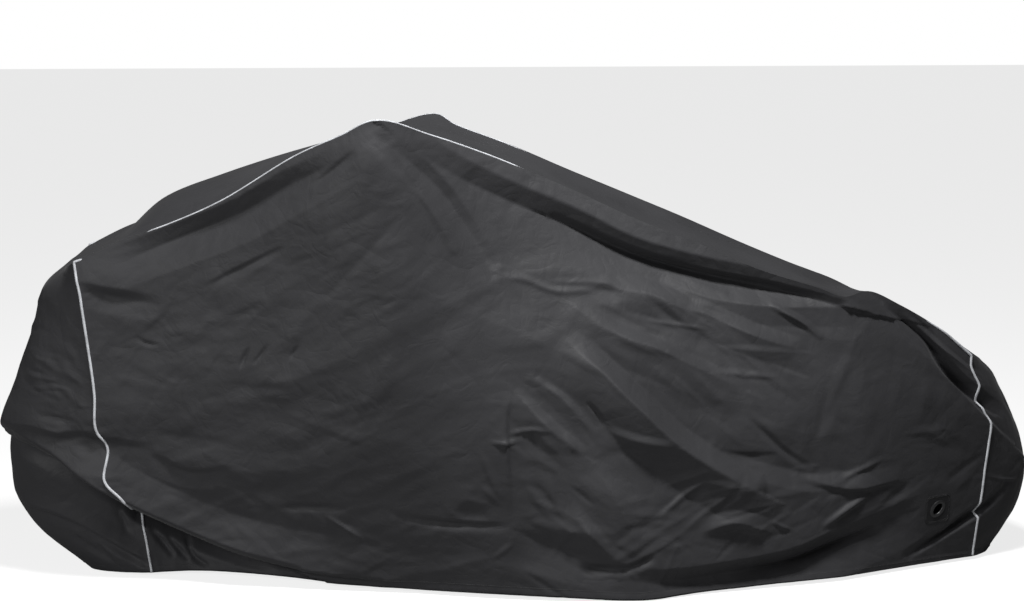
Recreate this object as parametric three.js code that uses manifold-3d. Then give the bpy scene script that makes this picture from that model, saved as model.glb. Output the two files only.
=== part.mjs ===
// A fitted cover for a long cargo bicycle, as it hangs over the handlebar and both wheels.
// Millimetres. +X runs along the bicycle, -Y is the near side, +Z is up, and the origin is on
// the floor under the middle of the cover.
//
// Two side panels hang from a long top band that runs from the hem at one end, up over the
// handlebar and down to the hem at the other end. A bead of piping lies in each of the two
// seams between them. Each side panel has an oval eyelet on a square patch, low down at the
// right end.

import * as THREE from 'three';
import { mergeVertices } from 'three/addons/utils/BufferGeometryUtils.js';
import Module from 'manifold-3d';

const { clamp, lerp, smoothstep } = THREE.MathUtils;
const vector = (x, y, z) => new THREE.Vector3(x, y, z);

// Cloth and trim.
const CLOTH = 2;
const GAP = 0.35;
const SEAM_GAP = 1.1;
const END_PIPING_RADIUS = 4;
const TOP_PIPING_RADIUS = 2.6;
const PIPING_FADE_STATIONS = 4;

// How finely each sheet is divided.
const PANEL_COLUMNS = 54;
const PANEL_ROWS = 18;
const ROW_CROWDING = 0.4;
const BAND_STEPS_ACROSS = 8;
const PIPING_SIDES = 5;

// The spine is the level line inside the cover that folds point away from.
const SPINE_LEFT = -820;
const SPINE_RIGHT = 900;
const SPINE_SOFT = 60;

// How full the band is between its seams (2 is a parabola), and how far a panel swells.
const BAND_FULLNESS = 2.2;
const PANEL_SWELL = 18;

// The eyelets, one on each side panel.
const EYELET_X = 990;
const EYELET_Z = 148;
const EYELET_TILT = Math.PI / 4;
const HOLE_LONG_RADIUS = 15;
const HOLE_SHORT_RADIUS = 9.5;
const BARREL = 1.6;
const FLANGE_WIDTH = 9;
const FLANGE = 1.2;
const FLANGE_EDGE = 0.5;
const RING_STEPS = 24;
const PATCH_SIZE = 72;
const PATCH_CORNER = 12;
const PATCH_CLOTH = 1.6;
const FLAT_WITHIN = 96;
const FLAT_FADES_BY = 118;

const CLOTH_COLOUR = '#39393b';
const PATCH_COLOUR = '#2c2c2e';
const PIPING_COLOUR = '#bcbec2';
const RING_COLOUR = '#1b1b1d';

// Sections across the top band, one a row. The near seam is at x, y, z, the band's middle
// line at midX, midZ. The far seam mirrors the near one, moved by skew along X and lowered
// by drop.
const LEFT_END = [ // from the hem up to the top corner
  { x: -893, y: -100, z: 9, midX: -1052, midZ: 0 },
  { x: -915, y: -125, z: 122, midX: -1178, midZ: 112 },
  { x: -943, y: -140, z: 200, midX: -1225, midZ: 195 },
  { x: -984, y: -145, z: 252, midX: -1240, midZ: 255 },
  { x: -985, y: -150, z: 325, midX: -1250, midZ: 320 },
  { x: -1008, y: -150, z: 375, midX: -1246, midZ: 372 },
  { x: -1008, y: -150, z: 455, midX: -1219, midZ: 450 },
  { x: -1024, y: -150, z: 609, midX: -1163, midZ: 605 },
  { x: -1035, y: -150, z: 700, midX: -1133, midZ: 694 },
  { x: -1045, y: -140, z: 766, midX: -1078, midZ: 742 },
];
const TOP = [ // from the left top corner over the handlebar to the right one
  { x: -949, y: -150, z: 812, midX: -958, midZ: 803 },
  { x: -826, y: -170, z: 857, midX: -850, midZ: 896, drop: 6 },
  { x: -702, y: -205, z: 914, midX: -715, midZ: 948, drop: 0 },
  { x: -530, y: -270, z: 1022, midX: -535, midZ: 1006, skew: 30, drop: 30 },
  { x: -429, y: -310, z: 1070, midX: -415, midZ: 1036, skew: 80, drop: 45 },
  { x: -351, y: -330, z: 1105, midX: -290, midZ: 1052, skew: 150, drop: 40 },
  { x: -228, y: -260, z: 1066, midX: -170, midZ: 1030, skew: 84, drop: 25 },
  { x: -66, y: -200, z: 1003, midX: -45, midZ: 982, skew: 50, drop: 6 },
  { x: 99, y: -175, z: 930, midX: 105, midZ: 915, skew: 25, drop: -8 },
  { x: 266, y: -170, z: 852, midX: 268, midZ: 842, skew: 5, drop: -25 },
  { x: 405, y: -172, z: 797, midX: 405, midZ: 790, drop: -24 },
  { x: 544, y: -175, z: 736, midX: 544, midZ: 732, drop: -23 },
  { x: 683, y: -182, z: 692, midX: 683, midZ: 688, drop: -8 },
  { x: 744, y: -190, z: 672, midX: 744, midZ: 668, drop: -4 },
  { x: 800, y: -180, z: 684, midX: 800, midZ: 662, drop: 30 },
  { x: 881, y: -170, z: 648, midX: 881, midZ: 626, drop: 36 },
  { x: 985, y: -150, z: 585, midX: 990, midZ: 570, drop: 32 },
];
const RIGHT_END = [ // from the top corner down to the hem
  { x: 1069, y: -130, z: 516, midX: 1118, midZ: 488, drop: 14 },
  { x: 1070, y: -130, z: 484, midX: 1152, midZ: 455, drop: 6 },
  { x: 1091, y: -130, z: 442, midX: 1174, midZ: 416 },
  { x: 1095, y: -130, z: 402, midX: 1191, midZ: 384 },
  { x: 1114, y: -130, z: 352, midX: 1211, midZ: 341 },
  { x: 1115, y: -130, z: 295, midX: 1231, midZ: 293 },
  { x: 1112, y: -125, z: 206, midX: 1248, midZ: 205 },
  { x: 1105, y: -115, z: 110, midX: 1228, midZ: 112 },
  { x: 1098, y: -100, z: 8, midX: 1162, midZ: 4 },
];

// The near panel's hem, between the two seams.
const HEM = [
  { x: -778, y: -122, z: 11 },
  { x: -660, y: -168, z: 14 },
  { x: -538, y: -200, z: 12 },
  { x: -305, y: -265, z: 9 },
  { x: -76, y: -330, z: 10 },
  { x: 106, y: -366, z: 7 },
  { x: 243, y: -380, z: 2 },
  { x: 386, y: -352, z: 5 },
  { x: 632, y: -290, z: 9 },
  { x: 899, y: -182, z: 9 },
];

// The main folds, seen from the side: the path of each in x and z, its width, and how far it
// rises at the start, middle and end of the path. A fold that sinks in has a negative rise.
const FOLDS = [
  // under the seams that run down from the handlebar
  {
    width: 33, rise: [-4, -36, -14],
    path: [[-290, 1045], [-137, 944], [72, 852], [300, 770], [542, 698], [770, 645]],
  },
  { width: 30, rise: [-6, -24, 0], path: [[-396, 1035], [-560, 935], [-700, 880], [-850, 820]] },
  { width: 20, rise: [-12, -8, 0], path: [[-1045, 712], [-910, 692], [-840, 684]] },
  // wide cones below the handlebar's tip
  { width: 70, rise: [0, 20, 0], path: [[-351, 1080], [-440, 940], [-540, 760]] },
  { width: 60, rise: [0, 18, 0], path: [[-340, 1080], [-230, 900], [-110, 700]] },
  { width: 55, rise: [0, -14, 0], path: [[-180, 980], [-60, 780], [50, 600]] },
  // deep folds drawn in at the left end
  {
    width: 19, rise: [-10, -24, 0],
    path: [[-1240, 345], [-1136, 343], [-1000, 338], [-862, 326], [-700, 270]],
  },
  {
    width: 30, rise: [4, 24, 6],
    path: [[-1200, 382], [-1084, 322], [-972, 272], [-814, 196], [-640, 128], [-304, 60]],
  },
  {
    width: 30, rise: [-14, -46, -12],
    path: [[-1235, 327], [-1100, 268], [-975, 205], [-843, 148], [-700, 95], [-509, 52], [-374, 28]],
  },
  { width: 22, rise: [-12, -26, -6], path: [[-1195, 170], [-1108, 145], [-1010, 108], [-900, 38]] },
  { width: 16, rise: [-6, -14, -8], path: [[-1150, 95], [-1060, 60], [-960, 10]] },
  // folds drawn in at the right end
  { width: 24, rise: [0, -34, -8], path: [[930, 142], [815, 108], [700, 84], [523, 50], [244, 34]] },
  { width: 20, rise: [-8, -22, -8], path: [[1190, 178], [1111, 130], [1020, 95], [915, 30]] },
  // the long edges of the flat right part
  {
    width: 26, rise: [4, 20, 4],
    path: [[800, 668], [907, 570], [1014, 466], [1121, 352], [1200, 270]],
  },
  { width: 17, rise: [-4, -22, -6], path: [[850, 640], [991, 522], [1075, 458]] },
  {
    width: 30, rise: [6, 24, 4],
    path: [[69, 617], [143, 546], [223, 466], [339, 361], [484, 273], [672, 226], [935, 234]],
  },
  { width: 34, rise: [0, -16, 0], path: [[90, 560], [223, 410], [340, 300], [470, 215], [640, 165]] },
  // smaller creases in the middle
  { width: 24, rise: [3, 13, 0], path: [[-49, 490], [27, 392], [110, 332], [139, 295]] },
  { width: 26, rise: [0, -12, 0], path: [[-18, 711], [172, 638], [376, 537], [485, 480]] },
  { width: 22, rise: [0, 12, 0], path: [[197, 693], [408, 667], [622, 567]] },
  { width: 24, rise: [0, -12, 0], path: [[515, 394], [595, 318], [651, 269]] },
  { width: 24, rise: [0, 14, 0], path: [[68, 211], [210, 63], [386, 133]] },
  { width: 22, rise: [0, -12, 0], path: [[-336, 196], [-242, 175], [-39, 166]] },
];

// ---- Shape of the cloth ----

function splineThrough(points) {
  return new THREE.CatmullRomCurve3(points, false, 'centripetal');
}

// How far up a panel each row lies, as a share of its height. The rows crowd towards the hem
// and the top seam, where the deep folds are.
function rowShares() {
  const shares = [];
  for (let row = 0; row <= PANEL_ROWS; row += 1) {
    const even = row / PANEL_ROWS;
    shares.push(even - (ROW_CROWDING * Math.sin(2 * Math.PI * even)) / (2 * Math.PI));
  }
  return shares;
}

function evenShares(steps) {
  return Array.from({ length: steps + 1 }, (_, step) => step / steps);
}

// Points at the given shares of the near seam's length, each with the far seam and the
// middle line beside it.
function sectionsAlong(rows, shares) {
  const near = splineThrough(rows.map((row) => vector(row.x, row.y, row.z)));
  const middle = splineThrough(rows.map((row) => vector(row.midX, 0, row.midZ)));
  const far = splineThrough(
    rows.map((row) => vector(row.x + (row.skew ?? 0), -row.y, row.z - (row.drop ?? 0))),
  );
  return shares.map((share) => {
    const t = near.getUtoTmapping(share);
    return { near: near.getPoint(t), middle: middle.getPoint(t), far: far.getPoint(t) };
  });
}

// How far the folds push the cloth out where the side view shows x and z.
function foldRise(x, z) {
  let total = 0;
  for (const fold of FOLDS) {
    const { distance, along } = nearestOnPath(fold.path, x, z);
    const [start, middle, end] = fold.rise;
    const toMiddle = Math.sin(Math.PI * along) ** 2;
    const rise = lerp(along < 0.5 ? start : end, middle, toMiddle);
    total += rise * Math.exp(-((distance / fold.width) ** 2));
  }
  return total;
}

function nearestOnPath(path, x, z) {
  const lengths = [];
  for (let i = 1; i < path.length; i += 1) {
    lengths.push(Math.hypot(path[i][0] - path[i - 1][0], path[i][1] - path[i - 1][1]));
  }
  const whole = lengths.reduce((sum, length) => sum + length, 0);
  let best = { distance: Infinity, along: 0 };
  let walked = 0;
  lengths.forEach((length, i) => {
    const [x0, z0] = path[i];
    const [x1, z1] = path[i + 1];
    const share = clamp(((x - x0) * (x1 - x0) + (z - z0) * (z1 - z0)) / length ** 2, 0, 1);
    const distance = Math.hypot(x - lerp(x0, x1, share), z - lerp(z0, z1, share));
    if (distance < best.distance) {
      best = { distance, along: (walked + share * length) / whole };
    }
    walked += length;
  });
  return best;
}

// Away from the spine, level, and shorter close to it.
function outward(point) {
  const away = vector(point.x - clamp(point.x, SPINE_LEFT, SPINE_RIGHT), point.y, 0);
  return away.divideScalar(Math.max(away.length(), SPINE_SOFT));
}

function folded(point, rise) {
  return point.clone().addScaledVector(outward(point), rise);
}

// A side panel between its hem, its two end seams and its top seam: each point blends the
// four edges, and swells a little in the middle.
function panelGrid({ hem, top, left, right }) {
  const shares = rowShares();
  const grid = [];
  for (let column = 0; column <= PANEL_COLUMNS; column += 1) {
    const u = column / PANEL_COLUMNS;
    const line = [];
    for (let row = 0; row <= PANEL_ROWS; row += 1) {
      const v = shares[row];
      const upAndDown = hem[column].clone().lerp(top[column], v);
      const sideways = left[row].clone().lerp(right[row], u);
      const lowCorners = hem[0].clone().lerp(hem[PANEL_COLUMNS], u);
      const highCorners = top[0].clone().lerp(top[PANEL_COLUMNS], u);
      const point = upAndDown.add(sideways).sub(lowCorners.lerp(highCorners, v));
      const swell = PANEL_SWELL * Math.sin(Math.PI * u) * Math.sin(Math.PI * v);
      point.y += Math.sign(point.y) * swell;
      line.push(point);
    }
    grid.push(line);
  }
  return grid;
}

// The top band: a row of points across it at each section.
function bandGrid(sections) {
  return sections.map(({ near, middle, far }) => {
    const rise = middle.clone().sub(near.clone().lerp(far, 0.5));
    const line = [];
    for (let step = 0; step <= BAND_STEPS_ACROSS; step += 1) {
      const side = -Math.cos((Math.PI * step) / BAND_STEPS_ACROSS);
      const fullness = 1 - Math.abs(side) ** BAND_FULLNESS;
      line.push(near.clone().lerp(far, (side + 1) / 2).addScaledVector(rise, fullness));
    }
    return line;
  });
}

// ---- Eyelet places ----

// The plane that a panel is smoothed onto around its eyelet.
function eyeletPlane(grid) {
  let nearest = null;
  let least = Infinity;
  for (let column = 1; column < PANEL_COLUMNS; column += 1) {
    for (let row = 1; row < PANEL_ROWS; row += 1) {
      const point = grid[column][row];
      const distance = Math.hypot(point.x - EYELET_X, point.z - EYELET_Z);
      if (distance < least) {
        least = distance;
        nearest = { column, row };
      }
    }
  }
  const { column, row } = nearest;
  const point = grid[column][row];
  const along = grid[column + 1][row].clone().sub(grid[column - 1][row]);
  const up = grid[column][row + 1].clone().sub(grid[column][row - 1]);
  const normal = along.clone().cross(up).normalize();
  normal.multiplyScalar(Math.sign(normal.y) * Math.sign(point.y));
  const y = point.y - (normal.x * (EYELET_X - point.x) + normal.z * (EYELET_Z - point.z)) / normal.y;
  return { centre: vector(EYELET_X, y, EYELET_Z), normal };
}

function flattened(point, planes) {
  const flat = point.clone();
  for (const { centre, normal } of planes) {
    const offset = point.clone().sub(centre);
    const share = 1 - smoothstep(offset.length(), FLAT_WITHIN, FLAT_FADES_BY);
    flat.addScaledVector(normal, -share * offset.dot(normal));
  }
  return flat;
}

// The place of an eyelet: local z points out of the panel, and local x runs along the hole,
// which leans up towards the cover's right end.
function eyeletMatrix({ centre, normal }) {
  const level = vector(1, 0, 0).addScaledVector(normal, -normal.x).normalize();
  const up = normal.clone().cross(level);
  const x = level.clone().multiplyScalar(Math.cos(EYELET_TILT));
  x.addScaledVector(up, Math.sin(EYELET_TILT) * Math.sign(up.z));
  const y = normal.clone().cross(x);
  return new THREE.Matrix4().makeBasis(x, y, normal).setPosition(centre);
}

// ---- Closed solids ----

// Draws the outer edges of a sheet back from the seam line, to make room for the piping.
function drawnBack(grid, edges) {
  const drawn = grid.map((line) => line.map((point) => point.clone()));
  for (const { at, inside, ahead, behind, distance } of edges) {
    const point = grid[at[0]][at[1]];
    const tangent = grid[ahead[0]][ahead[1]].clone().sub(grid[behind[0]][behind[1]]).normalize();
    const inwards = grid[inside[0]][inside[1]].clone().sub(point);
    inwards.addScaledVector(tangent, -inwards.dot(tangent)).normalize();
    drawn[at[0]][at[1]] = point.clone().addScaledVector(inwards, distance);
  }
  return drawn;
}

// The two triangles of a four-cornered patch, split along the diagonal that bends it least,
// so that the edges follow the folds.
function flatterSplit(points, [a, b, c, d]) {
  const facing = (triangle) => {
    const [p, q, r] = triangle.map((index) => points[index]);
    return q.clone().sub(p).cross(r.clone().sub(p)).normalize();
  };
  const splits = [[[a, b, c], [a, c, d]], [[a, b, d], [b, c, d]]];
  const [first, second] = splits.map(([one, two]) => facing(one).dot(facing(two)));
  return first > second ? splits[0] : splits[1];
}

// A closed solid from a grid of points on its outer face. turned says that the outer face
// is on the other side of the grid.
function clothSolid(grid, turned) {
  const columns = grid.length;
  const rows = grid[0].length;
  const outer = grid.flat();
  const inner = [];
  grid.forEach((line, column) => {
    line.forEach((point, row) => {
      const along = grid[Math.min(column + 1, columns - 1)][row].clone();
      along.sub(grid[Math.max(column - 1, 0)][row]);
      const up = line[Math.min(row + 1, rows - 1)].clone().sub(line[Math.max(row - 1, 0)]);
      const normal = along.cross(up).normalize().multiplyScalar(turned ? -1 : 1);
      inner.push(point.clone().addScaledVector(normal, -CLOTH));
    });
  });
  const count = outer.length;
  const faces = [];
  const addFace = (a, b, c) => faces.push(...(turned ? [a, c, b] : [a, b, c]));
  for (let column = 0; column < columns - 1; column += 1) {
    for (let row = 0; row < rows - 1; row += 1) {
      const a = column * rows + row;
      const b = a + rows;
      const c = b + 1;
      const d = a + 1;
      const halves = flatterSplit(outer, [a, b, c, d]);
      for (const [p, q, r] of halves) {
        addFace(p, q, r);
        addFace(count + p, count + r, count + q);
      }
    }
  }
  const rim = [];
  for (let column = 0; column < columns - 1; column += 1) {
    rim.push(column * rows);
  }
  for (let row = 0; row < rows - 1; row += 1) {
    rim.push((columns - 1) * rows + row);
  }
  for (let column = columns - 1; column > 0; column -= 1) {
    rim.push(column * rows + rows - 1);
  }
  for (let row = rows - 1; row > 0; row -= 1) {
    rim.push(row);
  }
  rim.forEach((a, i) => {
    const b = rim[(i + 1) % rim.length];
    addFace(a, count + a, b);
    addFace(b, count + a, count + b);
  });
  return indexedGeometry([...outer, ...inner], faces);
}

function indexedGeometry(points, faces) {
  const geometry = new THREE.BufferGeometry();
  const positions = points.flatMap((point) => point.toArray());
  geometry.setAttribute('position', new THREE.Float32BufferAttribute(positions, 3));
  geometry.setIndex(faces);
  return geometry;
}

// A closed tube along a seam, with a section of its own at each point.
function tubeSolid(path, outwards, radii) {
  const points = [];
  const faces = [];
  path.forEach((centre, i) => {
    const ahead = path[Math.min(i + 1, path.length - 1)];
    const behind = path[Math.max(i - 1, 0)];
    const tangent = ahead.clone().sub(behind).normalize();
    const out = outwards[i].clone().addScaledVector(tangent, -outwards[i].dot(tangent)).normalize();
    const side = tangent.clone().cross(out);
    for (let corner = 0; corner < PIPING_SIDES; corner += 1) {
      const angle = (2 * Math.PI * corner) / PIPING_SIDES;
      const point = centre.clone().addScaledVector(out, radii[i] * Math.cos(angle));
      points.push(point.addScaledVector(side, radii[i] * Math.sin(angle)));
    }
  });
  const last = (path.length - 1) * PIPING_SIDES;
  for (let start = 0; start < last; start += PIPING_SIDES) {
    for (let corner = 0; corner < PIPING_SIDES; corner += 1) {
      const next = (corner + 1) % PIPING_SIDES;
      const [a, b] = [start + corner, start + next];
      faces.push(a, b, a + PIPING_SIDES, b, b + PIPING_SIDES, a + PIPING_SIDES);
    }
  }
  for (let corner = 1; corner < PIPING_SIDES - 1; corner += 1) {
    faces.push(0, corner + 1, corner);
    faces.push(last, last + corner, last + corner + 1);
  }
  return indexedGeometry(points, faces);
}

// An oval ring with a flange on each face, swept round the hole. bottom and top are where
// the cloth between the flanges starts and ends.
function ringSolid(bottom, top) {
  const section = [
    { out: 0, up: bottom - FLANGE },
    { out: FLANGE_WIDTH, up: bottom - FLANGE },
    { out: FLANGE_WIDTH, up: bottom },
    { out: BARREL, up: bottom },
    { out: BARREL, up: top },
    { out: FLANGE_WIDTH, up: top },
    { out: FLANGE_WIDTH, up: top + FLANGE_EDGE },
    { out: FLANGE_WIDTH - 2, up: top + FLANGE },
    { out: 1, up: top + FLANGE },
    { out: 0, up: top + FLANGE_EDGE },
  ];
  const points = [];
  const faces = [];
  for (let step = 0; step < RING_STEPS; step += 1) {
    const angle = (2 * Math.PI * step) / RING_STEPS;
    const next = (step + 1) % RING_STEPS;
    section.forEach(({ out, up }, i) => {
      const x = (HOLE_LONG_RADIUS + out) * Math.cos(angle);
      const y = (HOLE_SHORT_RADIUS + out) * Math.sin(angle);
      points.push(vector(x, y, up));
      const j = (i + 1) % section.length;
      const [a, b] = [step * section.length + i, step * section.length + j];
      const [c, d] = [next * section.length + i, next * section.length + j];
      faces.push(a, c, b, b, c, d);
    });
  }
  return indexedGeometry(points, faces);
}

// The hole in the cloth, which leaves room for the ring's barrel.
function clothHole() {
  const points = [];
  for (let step = 0; step < RING_STEPS; step += 1) {
    const angle = (2 * Math.PI * step) / RING_STEPS;
    const x = (HOLE_LONG_RADIUS + BARREL + GAP) * Math.cos(angle);
    const y = (HOLE_SHORT_RADIUS + BARREL + GAP) * Math.sin(angle);
    points.push(new THREE.Vector2(x, y));
  }
  return points;
}

// The square patch with round corners, lying on the panel's outer face. Its corners are on
// the hole's long and short axes.
function patchSolid() {
  const reach = (PATCH_SIZE / 2 - PATCH_CORNER) * Math.SQRT2;
  const shape = new THREE.Shape();
  for (let corner = 0; corner < 4; corner += 1) {
    const towards = (corner * Math.PI) / 2;
    const [x, y] = [reach * Math.cos(towards), reach * Math.sin(towards)];
    shape.absarc(x, y, PATCH_CORNER, towards - Math.PI / 4, towards + Math.PI / 4);
  }
  shape.holes.push(new THREE.Path(clothHole()));
  const depth = PATCH_CLOTH;
  return new THREE.ExtrudeGeometry(shape, { depth, bevelEnabled: false, curveSegments: 5 });
}

// ---- Joining and cutting ----

const wasm = await Module();
wasm.setup();

function solidOf(geometry) {
  const bare = geometry.clone();
  bare.deleteAttribute('normal');
  bare.deleteAttribute('uv');
  const merged = mergeVertices(bare, 1e-4);
  const vertProperties = merged.attributes.position.array;
  const triVerts = Uint32Array.from(merged.index.array);
  return new wasm.Manifold(new wasm.Mesh({ numProp: 3, vertProperties, triVerts }));
}

function geometryOf(solid) {
  const { vertProperties, triVerts } = solid.getMesh();
  const geometry = new THREE.BufferGeometry();
  geometry.setAttribute('position', new THREE.BufferAttribute(vertProperties, 3));
  geometry.setIndex(new THREE.BufferAttribute(triVerts, 1));
  return geometry;
}

// Cuts the eyelet's oval hole, with room for the ring's barrel, through a panel.
function withHole(panel, plane) {
  const shape = new THREE.Shape(clothHole());
  const depth = 12 * CLOTH;
  const cutter = new THREE.ExtrudeGeometry(shape, { depth, bevelEnabled: false });
  cutter.translate(0, 0, -depth / 2);
  cutter.applyMatrix4(eyeletMatrix(plane));
  return geometryOf(solidOf(panel).subtract(solidOf(cutter)));
}

// ---- The cover ----

const topRows = [LEFT_END.at(-1), ...TOP, RIGHT_END[0]];
const leftSections = sectionsAlong(LEFT_END, rowShares());
const topSections = sectionsAlong(topRows, evenShares(PANEL_COLUMNS));
const rightSections = sectionsAlong(RIGHT_END, rowShares());
const sections = [...leftSections, ...topSections.slice(1), ...rightSections.slice(1)];

function hemPoints(mirror) {
  const [first, last] = [LEFT_END[0], RIGHT_END.at(-1)];
  const rows = [first, ...HEM, last];
  return splineThrough(rows.map((row) => vector(row.x, mirror * row.y, row.z)))
    .getSpacedPoints(PANEL_COLUMNS);
}

function flatPanel(side, mirror) {
  return panelGrid({
    hem: hemPoints(mirror),
    top: topSections.map((section) => section[side]),
    left: leftSections.map((section) => section[side]),
    right: rightSections.map((section) => section[side]).reverse(),
  });
}

const smoothNear = flatPanel('near', 1);
const smoothFar = flatPanel('far', -1);
const nearPlane = eyeletPlane(smoothNear);
const farPlane = eyeletPlane(smoothFar);
const planes = [nearPlane, farPlane];

// Both panels take the near one's folds.
function foldedPanel(grid) {
  return grid.map((line, column) => line.map((point, row) => {
    const { x, z } = smoothNear[column][row];
    return flattened(folded(point, foldRise(x, z)), planes);
  }));
}

// The band takes them too, mirrored about its middle line.
function foldedBand(grid) {
  return grid.map((line) => line.map((point, step) => {
    const { x, z } = line[Math.min(step, BAND_STEPS_ACROSS - step)];
    return flattened(folded(point, foldRise(x, z)), planes);
  }));
}

const nearGrid = foldedPanel(smoothNear);
const farGrid = foldedPanel(smoothFar);
const band = foldedBand(bandGrid(sections));

// The piping is thick down the ends, and thin where the cloth folds over it along the top.
const pipingRadii = sections.map((section, station) => {
  const fromLeftCorner = station - PANEL_ROWS;
  const fromRightCorner = PANEL_ROWS + PANEL_COLUMNS - station;
  const inTop = Math.min(fromLeftCorner, fromRightCorner) / PIPING_FADE_STATIONS;
  return lerp(END_PIPING_RADIUS, TOP_PIPING_RADIUS, clamp(inTop, 0, 1));
});

// The panel's edges along its seams, station by station from the left hem to the right hem.
function panelEdges() {
  const edges = [];
  const place = (station) => {
    if (station <= PANEL_ROWS) {
      return [0, Math.max(station, 0)];
    }
    if (station <= PANEL_ROWS + PANEL_COLUMNS) {
      return [station - PANEL_ROWS, PANEL_ROWS];
    }
    return [PANEL_COLUMNS, Math.max(sections.length - 1 - station, 0)];
  };
  pipingRadii.forEach((radius, station) => {
    const [column, row] = place(station);
    const inside = [clamp(column, 1, PANEL_COLUMNS - 1), Math.min(row, PANEL_ROWS - 1)];
    const distance = radius + SEAM_GAP;
    const [ahead, behind] = [place(station + 1), place(station - 1)];
    edges.push({ at: [column, row], inside, ahead, behind, distance });
  });
  return edges;
}

function bandEdges() {
  const edges = [];
  const last = sections.length - 1;
  pipingRadii.forEach((radius, station) => {
    const [ahead, behind] = [Math.min(station + 1, last), Math.max(station - 1, 0)];
    for (const [step, inner] of [[0, 1], [BAND_STEPS_ACROSS, BAND_STEPS_ACROSS - 1]]) {
      edges.push({
        at: [station, step],
        inside: [station, inner],
        ahead: [ahead, step],
        behind: [behind, step],
        distance: radius + SEAM_GAP,
      });
    }
  });
  return edges;
}

function seamPiping(step, mirror) {
  const path = band.map((line) => line[step]);
  const outwards = path.map((point) => vector(0, mirror, 0.6).add(outward(point)));
  return tubeSolid(path, outwards, pipingRadii);
}

function material(color, roughness, metalness) {
  return new THREE.MeshStandardMaterial({ color, roughness, metalness });
}

function named(name, geometry, colour, roughness, metalness = 0) {
  geometry.computeVertexNormals();
  const mesh = new THREE.Mesh(geometry, material(colour, roughness, metalness));
  mesh.name = name;
  return mesh;
}

const cover = new THREE.Group();
const nearPanel = withHole(clothSolid(drawnBack(nearGrid, panelEdges()), false), nearPlane);
const farPanel = withHole(clothSolid(drawnBack(farGrid, panelEdges()), true), farPlane);
cover.add(named('side_panel_near', nearPanel, CLOTH_COLOUR, 0.5));
cover.add(named('side_panel_far', farPanel, CLOTH_COLOUR, 0.5));
cover.add(named('top_band', clothSolid(drawnBack(band, bandEdges()), false), CLOTH_COLOUR, 0.5));
cover.add(named('piping_near', seamPiping(0, -1), PIPING_COLOUR, 0.4));
cover.add(named('piping_far', seamPiping(BAND_STEPS_ACROSS, 1), PIPING_COLOUR, 0.4));

for (const [side, plane] of [['near', nearPlane], ['far', farPlane]]) {
  const eyelet = new THREE.Group();
  const patch = named(`eyelet_patch_${side}`, patchSolid(), PATCH_COLOUR, 0.6);
  patch.position.z = GAP;
  const ringGeometry = ringSolid(-CLOTH - GAP, GAP + PATCH_CLOTH + GAP);
  eyelet.add(patch, named(`eyelet_ring_${side}`, ringGeometry, RING_COLOUR, 0.35));
  eyelet.applyMatrix4(eyeletMatrix(plane));
  cover.add(eyelet);
}

export default cover;
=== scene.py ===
"""A fitted cover for a long cargo bicycle, as it hangs over the handlebar and both wheels.

Metres. +X runs along the bicycle, -Y is the near side and +Z is up. The sections follow the
order of making: side panels, top band, piping, eyelets, hem stitching, then the studio.
"""

import math

import bpy
import numpy as np
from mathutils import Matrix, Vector


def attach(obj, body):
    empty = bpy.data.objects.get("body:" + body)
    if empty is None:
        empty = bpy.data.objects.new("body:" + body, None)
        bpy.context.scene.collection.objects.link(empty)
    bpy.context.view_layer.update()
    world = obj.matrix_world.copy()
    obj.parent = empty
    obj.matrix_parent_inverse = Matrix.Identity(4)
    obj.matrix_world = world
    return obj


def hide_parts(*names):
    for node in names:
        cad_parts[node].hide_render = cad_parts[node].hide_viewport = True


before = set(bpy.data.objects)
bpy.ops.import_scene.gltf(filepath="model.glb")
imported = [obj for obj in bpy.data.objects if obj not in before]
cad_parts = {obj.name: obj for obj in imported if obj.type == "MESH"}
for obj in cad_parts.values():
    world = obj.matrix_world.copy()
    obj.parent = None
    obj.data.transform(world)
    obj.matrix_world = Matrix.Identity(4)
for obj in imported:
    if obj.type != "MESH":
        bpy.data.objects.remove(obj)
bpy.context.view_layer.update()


# ---- Side panels ----
# Two wide panels of polyester taffeta, coated on the outer face, one for each side. Each is
# cut to hang from the seam with the top band down to a turned-up hem near the floor, and its
# cloth is drawn in towards both ends, so that deep folds run across the wheels.

# Sections across the top band, in order from the left hem to the right one. Columns: the near
# seam's x, y, z, the x and z of the band's middle line, then how far the far seam is shifted
# along x and lowered, against the near seam's mirror image.
LEFT_END = [
    (-0.893, -0.100, 0.009, -1.052, 0.000, 0, 0),
    (-0.915, -0.125, 0.122, -1.178, 0.112, 0, 0),
    (-0.943, -0.140, 0.200, -1.225, 0.195, 0, 0),
    (-0.984, -0.145, 0.252, -1.240, 0.255, 0, 0),
    (-0.985, -0.150, 0.325, -1.250, 0.320, 0, 0),
    (-1.008, -0.150, 0.375, -1.246, 0.372, 0, 0),
    (-1.008, -0.150, 0.455, -1.219, 0.450, 0, 0),
    (-1.024, -0.150, 0.609, -1.163, 0.605, 0, 0),
    (-1.035, -0.150, 0.700, -1.133, 0.694, 0, 0),
    (-1.045, -0.140, 0.766, -1.078, 0.742, 0, 0),
]
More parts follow.
